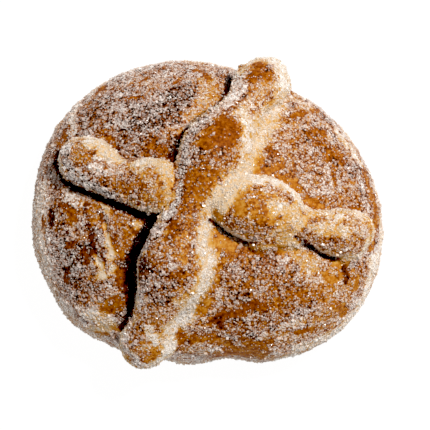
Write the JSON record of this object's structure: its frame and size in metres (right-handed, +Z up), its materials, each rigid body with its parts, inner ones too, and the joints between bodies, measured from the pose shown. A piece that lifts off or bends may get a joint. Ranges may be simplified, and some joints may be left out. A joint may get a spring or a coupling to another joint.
{
  "type": "sweet bread loaf with bone-shaped strips",
  "caption": "Round domed sweet bread with knuckled, bone-shaped strips of dough baked across its crown and a coat of sugar grains.",
  "frame": {"origin": "on the table, under the middle of the bread's bounding box", "axes": "+Z up out of the flat base, +X along the loaf's longest extent, towards the end of the right strip, +Y towards the upper end of the long strip"},
  "size_m": [0.1168, 0.1032, 0.0512],
  "materials": {
    "crust": null,
    "bone_crust": null,
    "sugar": null
  },
  "bodies": {
    "root": {"loaf": "crust", "long_bone": "bone_crust", "left_bone": "bone_crust", "right_bone": "bone_crust"}
  },
  "joints": []
}
